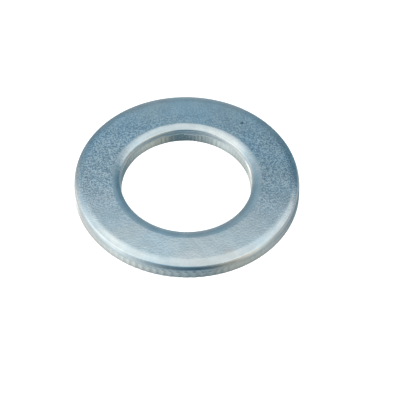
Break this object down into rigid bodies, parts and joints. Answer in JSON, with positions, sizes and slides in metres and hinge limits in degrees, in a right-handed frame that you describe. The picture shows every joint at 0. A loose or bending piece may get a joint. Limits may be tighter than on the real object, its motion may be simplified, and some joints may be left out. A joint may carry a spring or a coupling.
{
  "type": "flat washer",
  "caption": "Zinc-plated steel flat washer, a punched ring with rounded upper edges and a plain bore for an M22 bolt.",
  "frame": {"origin": "centre of the lower face, the burr side, on the bore axis", "axes": "+Z along the bore axis, towards the face with the rounded edges"},
  "size_m": [0.039, 0.039, 0.003],
  "materials": {
    "zinc_plated_steel": "bright zinc plating over tumbled punched steel, satin, faintly blue, lightly pitted"
  },
  "bodies": {
    "root": {"flat_washer": "zinc_plated_steel"}
  },
  "joints": []
}
